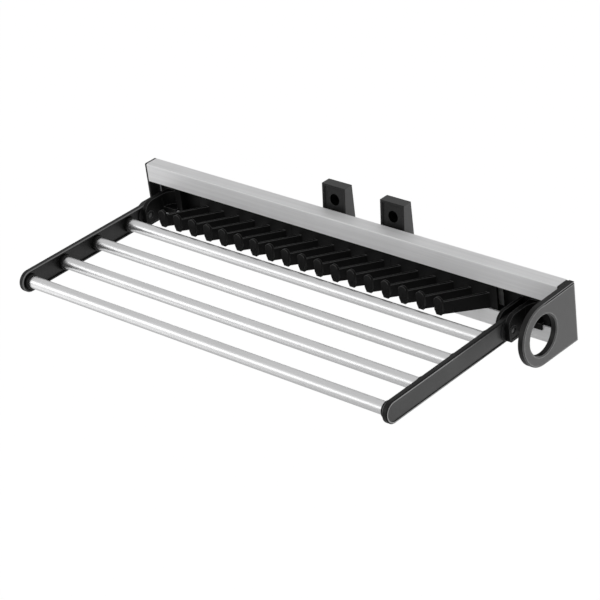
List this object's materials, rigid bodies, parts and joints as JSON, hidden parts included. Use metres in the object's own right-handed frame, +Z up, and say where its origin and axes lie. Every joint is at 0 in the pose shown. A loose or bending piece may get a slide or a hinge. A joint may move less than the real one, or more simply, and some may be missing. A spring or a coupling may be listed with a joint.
{
  "type": "pull-out trouser rack",
  "caption": "Side-mounted pull-out trouser rack: a fold-down frame of round bars and a comb of angled tie hooks on an aluminium profile that runs out on a ball-bearing slide.",
  "frame": {"origin": "midway between the two wall-screw holes, on the plane of the cabinet side wall", "axes": "+X the way the rack pulls out, out of the wardrobe; +Y into the side wall; +Z up"},
  "size_m": [0.4615, 0.199, 0.0744],
  "materials": {
    "bracket": "satin grey powder coat",
    "zinc": "zinc plated, dull",
    "buffer": "matt",
    "cage": "pressed sheet, dull",
    "ball": "polished",
    "profile": "silver anodised, satin",
    "black_plastic": "fine moulded grain",
    "grey_plastic": "dark grey, satin",
    "pin_steel": "blackened steel",
    "bar": "silver anodised, satin"
  },
  "bodies": {
    "wall_side": {"bracket_left": "bracket", "bracket_right": "bracket", "bracket_rivets": "zinc", "outer_rail": "zinc", "rail_buffer": "buffer"},
    "outer_cage": {"outer_ball_cage": "cage", "outer_balls": "ball"},
    "middle_member": {"middle_rail": "zinc"},
    "inner_cage": {"inner_ball_cage": "cage", "inner_balls": "ball"},
    "carriage": {"inner_rail": "zinc", "rail_screws": "zinc", "rail_nuts": "zinc", "carrier_profile": "profile", "hook_comb_left": "black_plastic", "hook_comb_middle": "black_plastic", "hook_comb_right": "black_plastic", "left_end_cap": "grey_plastic", "ring_pull": "grey_plastic", "hinge_bracket_left": "black_plastic", "hinge_bracket_right": "black_plastic", "hinge_bracket_screws": "pin_steel", "hinge_pins": "pin_steel", "hinge_stop_pins": "pin_steel", "hinge_washers": "pin_steel"},
    "trouser_frame": {"arm_left": "grey_plastic", "arm_right": "grey_plastic", "bar_1": "bar", "bar_2": "bar", "bar_3": "bar", "bar_4": "bar"}
  },
  "joints": [
    {"name": "slide_out", "type": "slide", "parent": "wall_side", "child": "carriage", "axis": [1, 0, 0], "range_m": [0, 0.38]},
    {"name": "outer_cage_roll", "type": "slide", "parent": "wall_side", "child": "outer_cage", "axis": [1, 0, 0], "range_m": [0, 0.095]},
    {"name": "middle_rail_run", "type": "slide", "parent": "wall_side", "child": "middle_member", "axis": [1, 0, 0], "range_m": [0, 0.19]},
    {"name": "inner_cage_roll", "type": "slide", "parent": "wall_side", "child": "inner_cage", "axis": [1, 0, 0], "range_m": [0, 0.285]},
    {"name": "frame_fold", "type": "hinge", "parent": "carriage", "child": "trouser_frame", "pos_m": [-0.03, -0.0473, -0.0461], "axis": [1, 0, 0], "range_deg": [0, 90]}
  ],
  "couplings": [
    {"joint": "outer_cage_roll", "follows": "slide_out", "ratio": 0.25},
    {"joint": "middle_rail_run", "follows": "slide_out", "ratio": 0.5},
    {"joint": "inner_cage_roll", "follows": "slide_out", "ratio": 0.75}
  ]
}
